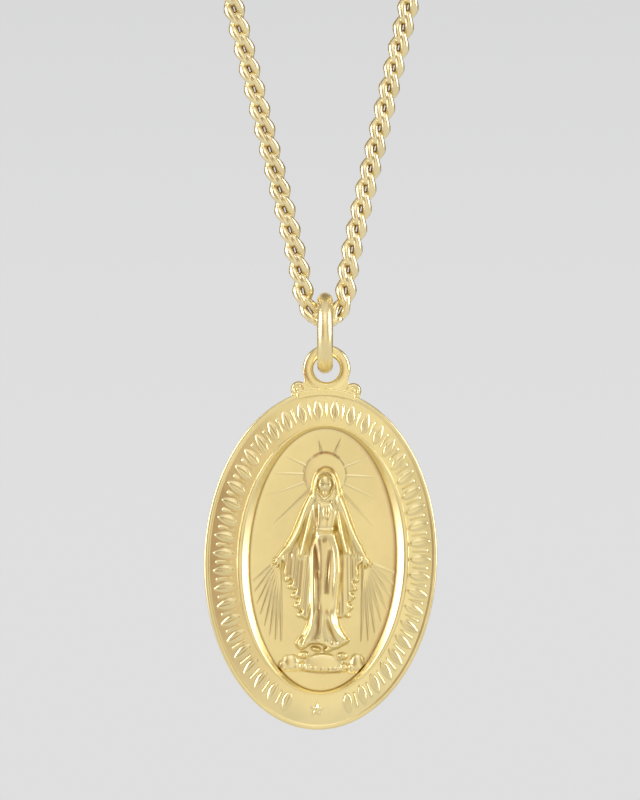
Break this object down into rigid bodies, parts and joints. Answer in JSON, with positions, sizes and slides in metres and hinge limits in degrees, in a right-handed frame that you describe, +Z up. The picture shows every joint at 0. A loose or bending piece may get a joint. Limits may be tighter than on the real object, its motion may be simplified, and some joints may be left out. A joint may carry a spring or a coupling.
{
  "type": "religious medal pendant on a curb chain",
  "caption": "Oval devotional medal with a standing figure in relief, hung by a jump ring from a curb chain that is a whole loop with a clasp.",
  "frame": {"origin": "middle of the clasp, where the chain lies on the nape of the neck", "axes": "+Z up, the medal faces -Y, +X to the right as seen from the front"},
  "size_m": [0.106, 0.1076, 0.246],
  "materials": {
    "medal_gold": "struck pale gold, satin field and polished relief",
    "ring_gold": "polished pale gold",
    "chain_gold": "polished pale gold",
    "clasp_gold": "polished pale gold"
  },
  "bodies": {
    "chain": {"chain": "chain_gold", "clasp": "clasp_gold"},
    "jump_ring": {"jump_ring": "ring_gold"},
    "medal": {"medal": "medal_gold"}
  },
  "joints": [
    {"name": "ring_swing", "type": "hinge", "parent": "chain", "child": "jump_ring", "pos_m": [0, -0.1025, -0.207], "axis": [1, 0, 0], "range_deg": [-60, 60]},
    {"name": "medal_swing", "type": "hinge", "parent": "jump_ring", "child": "medal", "pos_m": [0, -0.1025, -0.21102], "axis": [0, 1, 0], "range_deg": [-35, 35]}
  ]
}
